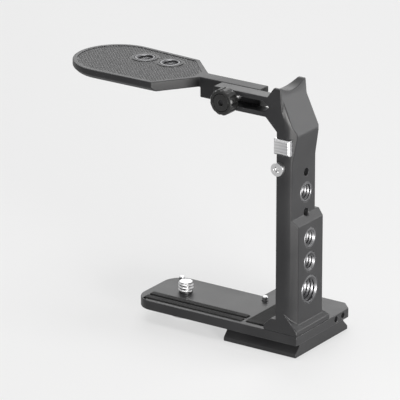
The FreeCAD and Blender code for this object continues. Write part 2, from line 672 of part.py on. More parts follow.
def footFasteners():
    bolts = []
    dowels = []
    seat = size("boltHeadThick") + size("boltSink")
    tip = size("deckTop") + size("boltReach") - size("boltEndGap")
    for number, y in enumerate(boltRows, start=1):
        bolt = newBody(f"foot_bolt_{number}")
        addPad(bolt, "XY_Plane", size("boltSink"), size("boltHeadThick"),
               ("circle", boltX, y, size("boltHead")))
        addPad(bolt, "XY_Plane", seat, tip - seat, ("circle", boltX, y, size("boltRadius")))
        addPocket(bolt, "XY_Plane", -beyond, size("boltSink") + size("boltKeyDepth") + beyond,
                  hexagon(boltX, y, size("boltKey")))
        bolts.append(place(bolt))
    for number, y in enumerate(dowelRows, start=1):
        dowel = newBody(f"foot_dowel_{number}")
        addPad(dowel, "XY_Plane", size("deckTop") - size("dowelLength") / 2, size("dowelLength"),
               ("circle", dowelX, y, size("dowelRadius")))
        dowels.append(place(dowel))
    return [group("foot_bolts", bolts), group("foot_dowels", dowels)]


def smallPins():
    low = deckBottom + size("pinFloor")
    pins = []
    for number, (x, y) in enumerate(pinPlaces(), start=1):
        pin = newBody(f"twist_pin_{number}")
        addPad(pin, "XY_Plane", low, size("deckTop") + size("pinProud") - low,
               ("circle", x, y, size("pinRadius")))
        pins.append(place(pin))
    stops = []
    for number, x in enumerate(stopPlaces(), start=1):
        stop = newBody(f"rail_stop_{number}")
        addPad(stop, "XY_Plane", size("stopSink"), size("stopLength"),
               ("circle", x, railMiddle, size("locatorRadius")))
        addPocket(stop, "XY_Plane", -beyond, size("stopSink") + size("stopKeyDepth") + beyond,
                  hexagon(x, railMiddle, size("stopKey")))
        stops.append(place(stop))
    return [group("twist_pins", pins), group("rail_stops", stops)]


def lugClamp():
    clamp = newBody("lug_clamp")
    addPad(clamp, "XZ_Plane", front - size("lugProud"), size("lugDepth"), lugOutline())
    addEdgeFeature(clamp, "Chamfer", size("lugBevel"),
                   lambda edge: near(edge.CenterOfMass.y, front - size("lugProud")))
    screw = newBody("lug_screw")
    x = lugScrewX()
    z = size("lugScrewHeight")
    headFront = front - size("lugHeadThick")
    addPad(screw, "XZ_Plane", headFront, size("lugHeadThick"), ("circle", x, z, size("lugScrewHead")))
    addPad(screw, "XZ_Plane", front, size("lugScrewLength"), ("circle", x, z, size("lugScrewRadius")))
    addPocket(screw, "XZ_Plane", headFront - beyond, size("lugKeyDepth") + beyond,
              hexagon(x, z, size("lugKey")))
    return [place(clamp), place(screw)]


def knobPieces():
    x = size("knobX")
    washerFront = front - size("washerThick")
    washer = newBody("knob_washer")
    addPad(washer, "XZ_Plane", washerFront, size("washerThick"),
           ("circle", x, slotMiddle, size("washerRadius")))
    addPocket(washer, "XZ_Plane", washerFront - beyond, size("washerThick") + beyond * 2,
              ("circle", x, slotMiddle, size("studRadius") + size("runGap")))
    knob = newBody("lock_knob")
    knobFront = washerFront - size("knobLength")
    addPad(knob, "XZ_Plane", knobFront, size("knobLength"), ("circle", x, slotMiddle, size("knobRadius")))
    addEdgeFeature(knob, "Chamfer", size("knobBevel"), lambda edge: near(edge.CenterOfMass.y, knobFront))
    count = int(dimensions["knobFlutes"][0])
    centreRadius = size("knobRadius") + size("fluteRadius") / 3
    flutes = []
    for number in range(count):
        fluteX, fluteZ = turned(x, slotMiddle, centreRadius, 360 / count * number)
        flutes.append(("circle", fluteX, fluteZ, size("fluteRadius")))
    addPocket(knob, "XZ_Plane", knobFront - beyond, size("knobLength") + beyond * 2, *flutes)
    socket = ("circle", x, slotMiddle, size("studRadius"))
    addPocket(knob, "XZ_Plane", washerFront - size("studSink"), size("studSink") + beyond, socket)
    stud = newBody("knob_stud")
    studFront = washerFront - size("studSink")
    addPad(stud, "XZ_Plane", studFront, neckRear + size("studTail") - studFront, socket)
    return [place(washer), place(knob), place(stud)]


def cameraScrew():
    low = size("screwFloor")
    screw = newBody("camera_screw")
    headTop = low + size("screwHeadThick")
    addPad(screw, "XY_Plane", low, size("screwHeadThick"), ("circle", 0, 0, size("screwHead")))
    addEdgeFeature(screw, "Chamfer", size("screwBevel"), lambda edge: near(edge.CenterOfMass.z, low))
    threadStart = size("deckTop") + size("slideGap")
    addPad(screw, "XY_Plane", headTop, threadStart - headTop, ("circle", 0, 0, size("screwNeck")))
    addPad(screw, "XY_Plane", threadStart, size("screwThread"), ("circle", 0, 0, size("screwRadius")))
    reach = size("screwHead") + beyond
    half = size("coinWidth") / 2
    addPocket(screw, "XY_Plane", low - beyond, size("coinDepth") + beyond,
              rectangle(-reach, -half, reach, half))
    addPocket(screw, "XY_Plane", low - beyond, size("screwKeyDepth") + beyond,
              hexagon(0, 0, size("screwKey")))
    washer = newBody("screw_washer")
    addPad(washer, "XY_Plane", headTop, size("fibreThick"),
           ("circle", 0, 0, size("screwHead") - size("fibreInset")))
    addPocket(washer, "XY_Plane", headTop - beyond, size("fibreThick") + beyond * 2,
              ("circle", 0, 0, size("screwNeck") + size("runGap")))
    return [place(screw), place(washer)]


def checkAll(pieces):
    doc.recompute()
    for item in doc.Objects:
        if "Invalid" in item.State or "Error" in item.State:
            raise ValueError(f"{item.Name} failed: {item.State}")
    for piece in pieces:
        if piece.Shape.isNull() or not piece.Shape.isValid():
            raise ValueError(f"{piece.Label} has no valid shape")


def writeAll(pieces):
    os.makedirs("parts", exist_ok=True)
    for piece in pieces:
        piece.Shape.exportStep(f"parts/{piece.Label}.step")
        print(f"{piece.Label}: {len(piece.Shape.Solids)} solids, {piece.Shape.Volume:.1f} mm3")


fillSheet()
allPieces = [basePlate(), sideFrame(), topPad()]
allPieces += rubberPieces() + threadInserts() + footFasteners() + smallPins()
allPieces += lugClamp() + knobPieces() + cameraScrew()
checkAll(allPieces)
writeAll(allPieces)
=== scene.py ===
import bpy
import bmesh
import json
import math
from mathutils import Matrix, Vector


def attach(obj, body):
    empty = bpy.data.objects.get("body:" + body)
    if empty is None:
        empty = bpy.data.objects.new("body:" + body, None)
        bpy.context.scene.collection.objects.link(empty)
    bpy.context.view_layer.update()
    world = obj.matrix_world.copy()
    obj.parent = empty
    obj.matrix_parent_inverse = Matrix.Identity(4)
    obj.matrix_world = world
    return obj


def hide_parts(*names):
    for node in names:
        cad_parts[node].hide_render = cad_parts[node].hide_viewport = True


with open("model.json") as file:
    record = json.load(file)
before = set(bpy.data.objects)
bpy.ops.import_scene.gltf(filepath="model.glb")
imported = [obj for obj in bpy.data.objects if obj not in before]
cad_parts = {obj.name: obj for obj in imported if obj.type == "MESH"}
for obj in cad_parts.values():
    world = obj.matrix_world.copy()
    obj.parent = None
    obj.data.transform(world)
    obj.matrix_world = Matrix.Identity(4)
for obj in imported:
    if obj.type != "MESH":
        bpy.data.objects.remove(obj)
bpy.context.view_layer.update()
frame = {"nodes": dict(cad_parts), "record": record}        # bodies, nodes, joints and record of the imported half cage

nodes = frame["nodes"]
bodyOfNode = {}
for bodyName, nodeNames in frame["record"]["behaviour"]["bodies"].items():
    for nodeName in nodeNames:
        bodyOfNode[nodeName] = bodyName
slotOfNode = {row["node"]: row["material_slot"] for row in frame["record"]["subparts"]}
print("frame loaded:", len(nodes), "nodes")


# Small helper for the node trees

def mathNode(tree, operation, first, second=None, third=None, clamp=False):
    node = tree.nodes.new("ShaderNodeMath")
    node.operation = operation
    node.use_clamp = clamp
    for index, value in enumerate((first, second, third)):
        if value is None:
            continue
        if isinstance(value, (int, float)):
            node.inputs[index].default_value = value
        else:
            tree.links.new(value, node.inputs[index])
    return node.outputs[0]


# Camera, floor and light

cameraSetup = {
    "azimuth": 34.0,         # degrees, from the front towards the port side
    "elevation": 20.0,
    "distance": 1.7,         # metres, a long lens as in the photograph
    "viewWidth": 0.158,      # metres across the picture at the object
    "target": (-0.001, -0.002, 0.0515),
    "sensorWidth": 36.0,     # millimetres
    "nearest": 0.05,
    "farthest": 30.0,
}

lightCentre = Vector((0, 0, 0.055))
lightSetup = {
    # name: azimuth, elevation, distance and size in metres, power in watts, colour
    "chamferStrip": (60, 3, 0.70, 0.22, 8.0, (1.0, 0.99, 0.97)),
    "rearSide": (138, 8, 0.75, 0.40, 2.4, (1.0, 1.0, 1.0)),
    "backPanel": (212, 34, 0.90, 0.60, 2.6, (1.0, 1.0, 1.0)),
    "topPanel": (15, 84, 0.80, 0.60, 4.0, (1.0, 1.0, 1.0)),
    "leftFill": (-60, 26, 0.90, 0.60, 0.2, (0.97, 0.98, 1.0)),
}

stageSetup = {
    "floorSize": 6.0,        # metres
    "floorColour": (0.80, 0.80, 0.80, 1.0),
    "backdropWhite": (0.92, 0.92, 0.92, 1.0),    # what the camera and mirrored rays meet
    "floorGlow": 0.62,       # share of the floor's white that no shadow darkens
    "worldGrey": 0.12,       # the soft light that the room itself gives
}


def directionFrom(azimuth, elevation):
    a = math.radians(azimuth)
    e = math.radians(elevation)
    return Vector((math.sin(a) * math.cos(e), -math.cos(a) * math.cos(e), math.sin(e)))


def makeCamera():
    data = bpy.data.cameras.new("stillCamera")
    camera = bpy.data.objects.new("stillCamera", data)
    bpy.context.scene.collection.objects.link(camera)
    back = directionFrom(cameraSetup["azimuth"], cameraSetup["elevation"])
    camera.location = Vector(cameraSetup["target"]) + back * cameraSetup["distance"]
    camera.rotation_mode = "QUATERNION"
    camera.rotation_quaternion = (-back).to_track_quat("-Z", "Y")
    data.sensor_width = cameraSetup["sensorWidth"]
    data.lens = data.sensor_width * cameraSetup["distance"] / cameraSetup["viewWidth"]
    data.clip_start = cameraSetup["nearest"]
    data.clip_end = cameraSetup["farthest"]
    bpy.context.scene.camera = camera


def makeLights():
    for name, (azimuth, elevation, distance, size, power, colour) in lightSetup.items():
        data = bpy.data.lights.new(name, "AREA")
        data.shape = "SQUARE"
        data.size = size
        data.energy = power
        data.color = colour
        lamp = bpy.data.objects.new(name, data)
        back = directionFrom(azimuth, elevation)
        lamp.location = lightCentre + back * distance
        lamp.rotation_mode = "QUATERNION"
        lamp.rotation_quaternion = (-back).to_track_quat("-Z", "Y")
        bpy.context.scene.collection.objects.link(lamp)


def seenOrMirrored(tree):
    # 1 for what the camera sees directly, in a reflection or through glass
    path = tree.nodes.new("ShaderNodeLightPath")
    seen = path.outputs["Is Camera Ray"]
    for ray in ("Is Glossy Ray", "Is Transmission Ray"):
        seen = mathNode(tree, "MAXIMUM", seen, path.outputs[ray])
    return seen


def mixInto(tree, factor, first, second, outputKind):
    mix = tree.nodes.new("ShaderNodeMixShader")
    out = tree.nodes.new(outputKind)
    tree.links.new(factor, mix.inputs[0])
    tree.links.new(first.outputs[0], mix.inputs[1])
    tree.links.new(second.outputs[0], mix.inputs[2])
    tree.links.new(mix.outputs[0], out.inputs[0])


def makeWorld():
    world = bpy.data.worlds.new("paleRoom")
    bpy.context.scene.world = world
    world.use_nodes = True
    tree = world.node_tree
    tree.nodes.clear()
    room = tree.nodes.new("ShaderNodeBackground")
    grey = stageSetup["worldGrey"]
    room.inputs["Color"].default_value = (grey, grey, grey, 1.0)
    white = tree.nodes.new("ShaderNodeBackground")
    white.inputs["Color"].default_value = stageSetup["backdropWhite"]
    mixInto(tree, seenOrMirrored(tree), room, white, "ShaderNodeOutputWorld")


def makeFloor():
    half = stageSetup["floorSize"] / 2
    mesh = bpy.data.meshes.new("studioFloor")
    corners = [(-half, -half, 0), (half, -half, 0), (half, half, 0), (-half, half, 0)]
    mesh.from_pydata(corners, [], [(0, 1, 2, 3)])
    floor = bpy.data.objects.new("studioFloor", mesh)
    bpy.context.scene.collection.objects.link(floor)
    paint = bpy.data.materials.new("studioFloor")
    paint.use_nodes = True
    tree = paint.node_tree
    tree.nodes.clear()
    matt = tree.nodes.new("ShaderNodeBsdfDiffuse")
    matt.inputs["Color"].default_value = stageSetup["floorColour"]
    glow = tree.nodes.new("ShaderNodeEmission")
    glow.inputs["Color"].default_value = stageSetup["backdropWhite"]
    share = mathNode(tree, "MULTIPLY", seenOrMirrored(tree), stageSetup["floorGlow"])
    mixInto(tree, share, matt, glow, "ShaderNodeOutputMaterial")
    mesh.materials.append(paint)


makeCamera()
makeLights()
makeWorld()
makeFloor()
bpy.context.scene.view_settings.view_transform = "Standard"
print("camera, light and floor made")


# Shared shader groups

def newGroup(name, inputs, outputs):
    group = bpy.data.node_groups.new(name, "ShaderNodeTree")
    for label, kind, value in inputs:
        socket = group.interface.new_socket(label, in_out="INPUT", socket_type=kind)
        if value is not None:
            socket.default_value = value
    for label, kind in outputs:
        group.interface.new_socket(label, in_out="OUTPUT", socket_type=kind)
    return group, group.nodes.new("NodeGroupInput"), group.nodes.new("NodeGroupOutput")


def noiseNode(tree, vector, scale, detail, roughness):
    node = tree.nodes.new("ShaderNodeTexNoise")
    node.inputs["Detail"].default_value = detail
    node.inputs["Roughness"].default_value = roughness
    tree.links.new(vector, node.inputs["Vector"])
    if isinstance(scale, (int, float)):
        node.inputs["Scale"].default_value = scale
    else:
        tree.links.new(scale, node.inputs["Scale"])
    return node.outputs["Fac"]


def rampNode(tree, value, low, high, fromMin, fromMax):
    node = tree.nodes.new("ShaderNodeMapRange")
    node.inputs["From Min"].default_value = fromMin
    node.inputs["From Max"].default_value = fromMax
    node.inputs["To Min"].default_value = low
    node.inputs["To Max"].default_value = high
    tree.links.new(value, node.inputs["Value"])
    return node.outputs["Result"]


def mixColour(tree, factor, first, second):
    node = tree.nodes.new("ShaderNodeMix")
    node.data_type = "RGBA"
    colourInputs = [socket for socket in node.inputs if socket.type == "RGBA"]
    factorInput = [socket for socket in node.inputs if socket.type == "VALUE"][0]
    colourOutput = [socket for socket in node.outputs if socket.type == "RGBA"][0]
    for socket, value in ((factorInput, factor), (colourInputs[0], first), (colourInputs[1], second)):
        if isinstance(value, (int, float, tuple)):
            socket.default_value = value
        else:
            tree.links.new(value, socket)
    return colourOutput


edgeSetup = {
    "samples": 6,
    "dots": (0.80, 0.985),   # a rounded normal against the face's: full painted highlight, no painted highlight
    "speckle": (3.0, 0.6),   # detail and roughness of the noise that breaks the edge up
    "speckleSpan": (0.35, 0.6),
    # weakest share of the painted edge highlight where the noise breaks it up
    "faintestHighlight": 0.25,
}


def makeEdgeGroup():
    # Mask of the outer edges where a painted highlight lightens the colour, broken up by noise.
    group, source, sink = newGroup("paintedEdgeHighlight", [
        ("Radius", "NodeSocketFloat", 0.0006), ("Break Up", "NodeSocketFloat", 900.0),
        ("Vector", "NodeSocketVector", None)], [("Mask", "NodeSocketFloat")])
    bevel = group.nodes.new("ShaderNodeBevel")
    bevel.samples = edgeSetup["samples"]
    group.links.new(source.outputs["Radius"], bevel.inputs["Radius"])
    geometry = group.nodes.new("ShaderNodeNewGeometry")
    dot = group.nodes.new("ShaderNodeVectorMath")
    dot.operation = "DOT_PRODUCT"
    group.links.new(bevel.outputs["Normal"], dot.inputs[0])
    group.links.new(geometry.outputs["Normal"], dot.inputs[1])
    edge = rampNode(group, dot.outputs["Value"], 1.0, 0.0, *edgeSetup["dots"])
    speckle = noiseNode(group, source.outputs["Vector"], source.outputs["Break Up"], *edgeSetup["speckle"])
    broken = rampNode(group, speckle, edgeSetup["faintestHighlight"], 1.0, *edgeSetup["speckleSpan"])
    group.links.new(mathNode(group, "MULTIPLY", edge, broken, clamp=True), sink.inputs["Mask"])
    return group


grainSetup = {
    # detail and roughness of the two noises
    "fine": (3.0, 0.7),
    "slow": (4.0, 0.55),
}


def makeGrainGroup():
    # Fine height of a bead blasted or moulded skin, with a slow drift of tone.
    group, source, sink = newGroup("blastedGrain", [
        ("Grain", "NodeSocketFloat", 5200.0), ("Drift", "NodeSocketFloat", 60.0),
        ("Vector", "NodeSocketVector", None)],
        [("Height", "NodeSocketFloat"), ("Tone", "NodeSocketFloat")])
    fine = noiseNode(group, source.outputs["Vector"], source.outputs["Grain"], *grainSetup["fine"])
    slow = noiseNode(group, source.outputs["Vector"], source.outputs["Drift"], *grainSetup["slow"])
    group.links.new(fine, sink.inputs["Height"])
    group.links.new(slow, sink.inputs["Tone"])
    return group


toolSetup = {
    "stretch": (0.03, 0.03, 1.0),    # lines lie level and follow each other along Z
    "line": (3.0, 0.65),             # detail and roughness of the lines
    "lineSpan": (0.35, 0.65),
    "broad": (320.0, 2.0, 0.5),      # scale, detail and roughness of the slow waver
}


def makeToolGroup():
    # Fine parallel lines that a cutter leaves, as a height and a mask.
    group, source, sink = newGroup("toolLines", [
        ("Lines", "NodeSocketFloat", 3000.0), ("Waver", "NodeSocketFloat", 0.4),
        ("Vector", "NodeSocketVector", None)],
        [("Height", "NodeSocketFloat"), ("Mask", "NodeSocketFloat")])
    stretch = group.nodes.new("ShaderNodeVectorMath")
    stretch.operation = "MULTIPLY"
    stretch.inputs[1].default_value = toolSetup["stretch"]
    group.links.new(source.outputs["Vector"], stretch.inputs[0])
    lines = noiseNode(group, stretch.outputs["Vector"], source.outputs["Lines"], *toolSetup["line"])
    broad = noiseNode(group, source.outputs["Vector"], *toolSetup["broad"])
    wavered = mathNode(group, "MULTIPLY_ADD", broad, source.outputs["Waver"], lines)
    group.links.new(wavered, sink.inputs["Height"])
    group.links.new(rampNode(group, lines, 0.0, 1.0, *toolSetup["lineSpan"]), sink.inputs["Mask"])
    return group


edgeGroup = makeEdgeGroup()
grainGroup = makeGrainGroup()
toolGroup = makeToolGroup()


def placeGroup(tree, group, vector, **values):
    node = tree.nodes.new("ShaderNodeGroup")
    node.node_tree = group
    tree.links.new(vector, node.inputs["Vector"])
    for label, value in values.items():
        node.inputs[label].default_value = value
    return node


# Finishes

# The edge colour of each finish is a painted highlight, laid along the outer edges by the edge mask.
finishes = {
    "blackAnodised": {"dark": (0.011, 0.011, 0.012, 1), "light": (0.020, 0.020, 0.021, 1),
                      "edge": (0.16, 0.16, 0.165, 1), "roughness": (0.36, 0.46), "metallic": 0.0,
                      "specular": 0.30, "grain": 5200.0, "bump": 0.10, "edgeRadius": 0.0005},
    # Shaded copy of the black anodising for the pad: its darker base colour is painted shade that makes the rim read
    # dark.
    "padBlackShaded": {"dark": (0.008, 0.008, 0.009, 1), "light": (0.014, 0.014, 0.015, 1),
                 "edge": (0.13, 0.13, 0.135, 1), "roughness": (0.40, 0.50), "metallic": 0.0,
                 "specular": 0.30, "grain": 5200.0, "bump": 0.10, "edgeRadius": 0.0005},
    # Lit copy of the black anodising for the pad's knurl: its lighter base colour is a painted reflection of the top
    # light, and its edge colour a painted highlight on the crests.
    "knurlBlackLit": {"dark": (0.022, 0.022, 0.023, 1), "light": (0.060, 0.060, 0.061, 1),
                     "edge": (0.26, 0.26, 0.265, 1), "roughness": (0.32, 0.46), "metallic": 0.0,
                     "specular": 0.40, "grain": 5200.0, "bump": 0.08, "edgeRadius": 0.00014},
    "knobBlack": {"dark": (0.006, 0.006, 0.006, 1), "light": (0.010, 0.010, 0.010, 1),
                  "edge": (0.05, 0.05, 0.05, 1), "roughness": (0.34, 0.44), "metallic": 0.0,
                  "specular": 0.34, "grain": 4200.0, "bump": 0.08, "edgeRadius": 0.0003},
    "mouldedRubber": {"dark": (0.010, 0.010, 0.010, 1), "light": (0.018, 0.018, 0.018, 1),
                      "edge": (0.03, 0.03, 0.03, 1), "roughness": (0.68, 0.84), "metallic": 0.0,
                      "specular": 0.3, "grain": 2600.0, "bump": 0.25, "edgeRadius": 0.0003},
    "turnedSteel": {"dark": (0.42, 0.42, 0.43, 1), "light": (0.60, 0.60, 0.60, 1),
                    "edge": (0.80, 0.80, 0.80, 1), "roughness": (0.20, 0.32), "metallic": 1.0,
                    "specular": 0.5, "grain": 3000.0, "bump": 0.12, "edgeRadius": 0.0002,
                    "toolLines": 4200.0, "lineRoughness": 0.14},
    # Shaded copy of the turned steel for the inserts and their threads: the darker base colour is painted shade inside
    # the holes.
    "insertSteelShaded": {"dark": (0.10, 0.10, 0.105, 1), "light": (0.17, 0.17, 0.175, 1),
                    "edge": (0.42, 0.42, 0.42, 1), "roughness": (0.34, 0.44), "metallic": 1.0,
                    "specular": 0.5, "grain": 3000.0, "bump": 0.10, "edgeRadius": 0.0002,
                    "toolLines": 4200.0, "lineRoughness": 0.10},
    "blackSteel": {"dark": (0.020, 0.020, 0.022, 1), "light": (0.034, 0.034, 0.036, 1),
                   "edge": (0.20, 0.20, 0.20, 1), "roughness": (0.30, 0.42), "metallic": 0.6,
                   "specular": 0.5, "grain": 3600.0, "bump": 0.06, "edgeRadius": 0.0002},
    "blackFibre": {"dark": (0.020, 0.018, 0.016, 1), "light": (0.034, 0.031, 0.028, 1),
                   "edge": (0.06, 0.055, 0.05, 1), "roughness": (0.7, 0.85), "metallic": 0.0,
                   "specular": 0.3, "grain": 1500.0, "bump": 0.2, "edgeRadius": 0.0002},
}
finishOfSlot = {"black_anodised": "blackAnodised", "black_knob": "knobBlack", "black_rubber": "mouldedRubber",
                "bright_steel": "turnedSteel", "dark_steel": "blackSteel", "fibre": "blackFibre"}
finishOfNode = {"top_pad": "padBlackShaded", "side_inserts": "insertSteelShaded", "large_insert": "insertSteelShaded",
                "pad_inserts": "insertSteelShaded"}
skinSetup = {
    "drift": 55.0,           # scale of the slow drift of tone
    "toneSpan": (0.3, 0.7),
    "roughSpan": (0.25, 0.75),
    "bumpDistance": 0.00005,
}


def makeFinish(name):
    look = finishes[name]
    material = bpy.data.materials.new(name)
    material.use_nodes = True
    tree = material.node_tree
    shader = tree.nodes["Principled BSDF"]
    place = tree.nodes.new("ShaderNodeTexCoord").outputs["Object"]
    grain = placeGroup(tree, grainGroup, place, Grain=look["grain"], Drift=skinSetup["drift"])
    edge = placeGroup(tree, edgeGroup, place, Radius=look["edgeRadius"])
    tone = rampNode(tree, grain.outputs["Tone"], 0.0, 1.0, *skinSetup["toneSpan"])
    body = mixColour(tree, tone, look["dark"], look["light"])
    # Painted highlight: the finish's edge colour over the body colour along the outer edges.
    highlitEdges = mixColour(tree, edge.outputs["Mask"], body, look["edge"])
    tree.links.new(highlitEdges, shader.inputs["Base Color"])
    low, high = look["roughness"]
    rough = rampNode(tree, grain.outputs["Tone"], low, high, *skinSetup["roughSpan"])
    height = grain.outputs["Height"]
    if "toolLines" in look:
        cut = placeGroup(tree, toolGroup, place, Lines=look["toolLines"])
        height = mathNode(tree, "ADD", height, cut.outputs["Height"])
        rough = mathNode(tree, "MULTIPLY_ADD", cut.outputs["Mask"], look["lineRoughness"], rough)
    tree.links.new(rough, shader.inputs["Roughness"])
    bump = tree.nodes.new("ShaderNodeBump")
    bump.inputs["Strength"].default_value = look["bump"]
    bump.inputs["Distance"].default_value = skinSetup["bumpDistance"]
    tree.links.new(height, bump.inputs["Height"])
    tree.links.new(bump.outputs["Normal"], shader.inputs["Normal"])
    shader.inputs["Metallic"].default_value = look["metallic"]
    shader.inputs["Specular IOR Level"].default_value = look["specular"]
    return material


materials = {name: makeFinish(name) for name in finishes}
print("finishes made:", len(materials))


# Geometry node groups for what repeats

def newField(name, inputs):
    # A node group that takes a mesh and named values and gives a mesh.
    group = bpy.data.node_groups.new(name, "GeometryNodeTree")
    group.interface.new_socket("Geometry", in_out="INPUT", socket_type="NodeSocketGeometry")
    for label, kind, value in inputs:
        socket = group.interface.new_socket(label, in_out="INPUT", socket_type=kind)
        if value is not None:
            socket.default_value = value
    group.interface.new_socket("Material", in_out="INPUT", socket_type="NodeSocketMaterial")
    group.interface.new_socket("Geometry", in_out="OUTPUT", socket_type="NodeSocketGeometry")
    return group, group.nodes.new("NodeGroupInput"), group.nodes.new("NodeGroupOutput")


def closeField(group, geometry, source, sink):
    real = group.nodes.new("GeometryNodeRealizeInstances")
    paint = group.nodes.new("GeometryNodeSetMaterial")
    group.links.new(geometry, real.inputs["Geometry"])
    group.links.new(real.outputs["Geometry"], paint.inputs["Geometry"])
    group.links.new(source.outputs["Material"], paint.inputs["Material"])
    group.links.new(paint.outputs["Geometry"], sink.inputs["Geometry"])


def vectorOf(group, x=None, y=None, z=None):
    node = group.nodes.new("ShaderNodeCombineXYZ")
    for index, value in enumerate((x, y, z)):
        if isinstance(value, (int, float)):
            node.inputs[index].default_value = value
        elif value is not None:
            group.links.new(value, node.inputs[index])
    return node.outputs["Vector"]


def instancesOn(group, points, shape, rotation=None, selection=None):
    node = group.nodes.new("GeometryNodeInstanceOnPoints")
    group.links.new(points, node.inputs["Points"])
    group.links.new(shape, node.inputs["Instance"])
    if rotation is not None:
        group.links.new(rotation, node.inputs["Rotation"])
    if selection is not None:
        group.links.new(selection, node.inputs["Selection"])
    return node.outputs["Instances"]


knurlShape = {
    "turn": 45,              # degrees between the rows and the pad's length
    "bottomShare": 0.70,     # a point's radius at its foot and its top, as shares of the pitch
    "topShare": 0.17,
    "rayStart": (0, 0, 0.001),
    "rayLength": 0.01,
}


def makeKnurlField():
    # Points in diagonal rows, wherever the input mesh lies below.
    group, source, sink = newField("knurlField", [
        ("Pitch", "NodeSocketFloat", 0.001), ("Height", "NodeSocketFloat", 0.0002),
        ("Reach", "NodeSocketFloat", 0.07), ("Centre", "NodeSocketVector", None)])
    pitches = mathNode(group, "DIVIDE", source.outputs["Reach"], source.outputs["Pitch"])
    rows = mathNode(group, "ROUND", pitches)
    grid = group.nodes.new("GeometryNodeMeshGrid")
    for side in ("X", "Y"):
        size = mathNode(group, "MULTIPLY", rows, source.outputs["Pitch"])
        group.links.new(size, grid.inputs[f"Size {side}"])
        group.links.new(mathNode(group, "ADD", rows, 1.0), grid.inputs[f"Vertices {side}"])
    turn = group.nodes.new("GeometryNodeTransform")
    group.links.new(grid.outputs["Mesh"], turn.inputs["Geometry"])
    group.links.new(source.outputs["Centre"], turn.inputs["Translation"])
    turn.inputs["Rotation"].default_value = (0, 0, math.radians(knurlShape["turn"]))
    here = group.nodes.new("GeometryNodeInputPosition")
    above = group.nodes.new("ShaderNodeVectorMath")
    above.operation = "ADD"
    group.links.new(here.outputs["Position"], above.inputs[0])
    above.inputs[1].default_value = knurlShape["rayStart"]
    ray = group.nodes.new("GeometryNodeRaycast")
    group.links.new(source.outputs["Geometry"], ray.inputs["Target Geometry"])
    group.links.new(above.outputs["Vector"], ray.inputs["Source Position"])
    ray.inputs["Ray Direction"].default_value = (0, 0, -1)
    ray.inputs["Ray Length"].default_value = knurlShape["rayLength"]
    point = group.nodes.new("GeometryNodeMeshCone")
    point.inputs["Vertices"].default_value = 4
    for share, radius in (("bottomShare", "Radius Bottom"), ("topShare", "Radius Top")):
        wide = mathNode(group, "MULTIPLY", source.outputs["Pitch"], knurlShape[share])
        group.links.new(wide, point.inputs[radius])
    group.links.new(source.outputs["Height"], point.inputs["Depth"])
    hit = ray.outputs["Is Hit"]
    field = instancesOn(group, turn.outputs["Geometry"], point.outputs["Mesh"], selection=hit)
    closeField(group, field, source, sink)
    return group


ridgeShape = {"stepsPerTurn": 28, "sides": 4}


def makeThreadRidge():
    # One start of thread along +Z, its ridge a square swept on edge.
    group, source, sink = newField("threadRidge", [
        ("Radius", "NodeSocketFloat", 0.003), ("Ridge", "NodeSocketFloat", 0.0004),
        ("Pitch", "NodeSocketFloat", 0.00127), ("Length", "NodeSocketFloat", 0.006)])
    turns = group.nodes.new("GeometryNodeCurveSpiral")
    turns.inputs["Resolution"].default_value = ridgeShape["stepsPerTurn"]
    group.links.new(mathNode(group, "DIVIDE", source.outputs["Length"], source.outputs["Pitch"]),
                    turns.inputs["Rotations"])
    group.links.new(source.outputs["Radius"], turns.inputs["Start Radius"])
    group.links.new(source.outputs["Radius"], turns.inputs["End Radius"])
    group.links.new(source.outputs["Length"], turns.inputs["Height"])
    upright = group.nodes.new("GeometryNodeSetCurveNormal")
    upright.mode = "Z_UP"
    group.links.new(turns.outputs["Curve"], upright.inputs["Curve"])
    profile = group.nodes.new("GeometryNodeCurvePrimitiveCircle")
    profile.inputs["Resolution"].default_value = ridgeShape["sides"]
    group.links.new(source.outputs["Ridge"], profile.inputs["Radius"])
    sweep = group.nodes.new("GeometryNodeCurveToMesh")
    sweep.inputs["Fill Caps"].default_value = True
    group.links.new(upright.outputs["Curve"], sweep.inputs["Curve"])
    group.links.new(profile.outputs["Curve"], sweep.inputs["Profile Curve"])
    closeField(group, sweep.outputs["Mesh"], source, sink)
    return group


def makeGrooveRow():
    # A row of square bars on edge, spaced along X and reaching along Y.
    group, source, sink = newField("grooveRow", [
        ("Count", "NodeSocketInt", 5), ("Spacing", "NodeSocketFloat", 0.001),
        ("Width", "NodeSocketFloat", 0.0004), ("Reach", "NodeSocketFloat", 0.01)])
    line = group.nodes.new("GeometryNodeMeshLine")
    group.links.new(source.outputs["Count"], line.inputs["Count"])
    group.links.new(vectorOf(group, source.outputs["Spacing"]), line.inputs["Offset"])
    side = mathNode(group, "MULTIPLY", source.outputs["Width"], math.sqrt(0.5))
    bar = group.nodes.new("GeometryNodeMeshCube")
    group.links.new(vectorOf(group, side, source.outputs["Reach"], side), bar.inputs["Size"])
    turn = vectorOf(group, 0.0, math.radians(45), 0.0)
    bars = instancesOn(group, line.outputs["Mesh"], bar.outputs["Mesh"], rotation=turn)
    closeField(group, bars, source, sink)
    return group


